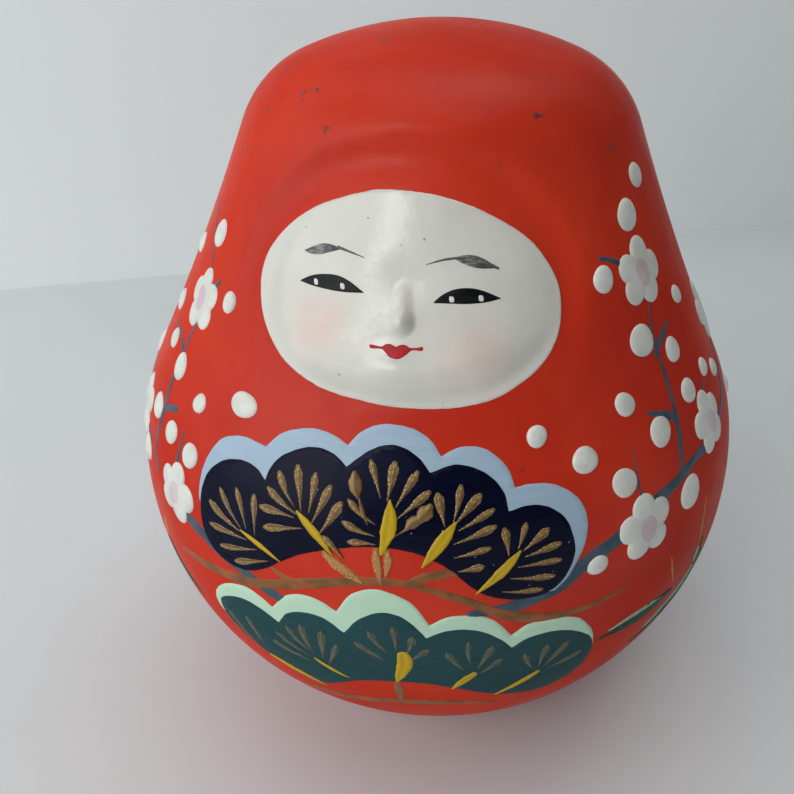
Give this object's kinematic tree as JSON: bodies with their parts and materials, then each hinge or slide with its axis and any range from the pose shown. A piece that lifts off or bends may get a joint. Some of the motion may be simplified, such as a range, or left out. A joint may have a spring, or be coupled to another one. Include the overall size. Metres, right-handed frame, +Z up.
{
  "type": "roly-poly daruma doll",
  "caption": "Papier-mâché princess daruma: a hollow vermilion roly-poly with a clay weight in its rounded base, a white painted face and raised plum blossoms.",
  "frame": {"origin": "centre of the small flat under the rounded base, on the table", "axes": "+Z up through the crown, -Y the way the face looks, +X towards the doll's left hand"},
  "size_m": [0.156, 0.156, 0.182],
  "materials": {
    "vermilion_coat": "satin",
    "face_white": "gloss",
    "washi_strip": "matte",
    "pasted_paper": "matte",
    "clay": "matte",
    "raised_chalk": "matte"
  },
  "bodies": {
    "root": {"vermilion_coat": "vermilion_coat", "face_coat": "face_white", "seam_strip": "washi_strip", "front_shell": "pasted_paper", "back_shell": "pasted_paper", "clay_weight": "clay", "weight_cover_paper": "washi_strip", "plum_buds_right_hand": "raised_chalk", "plum_buds_left_hand": "raised_chalk", "plum_blossoms_right_hand": "raised_chalk", "plum_blossoms_left_hand": "raised_chalk"}
  },
  "joints": []
}
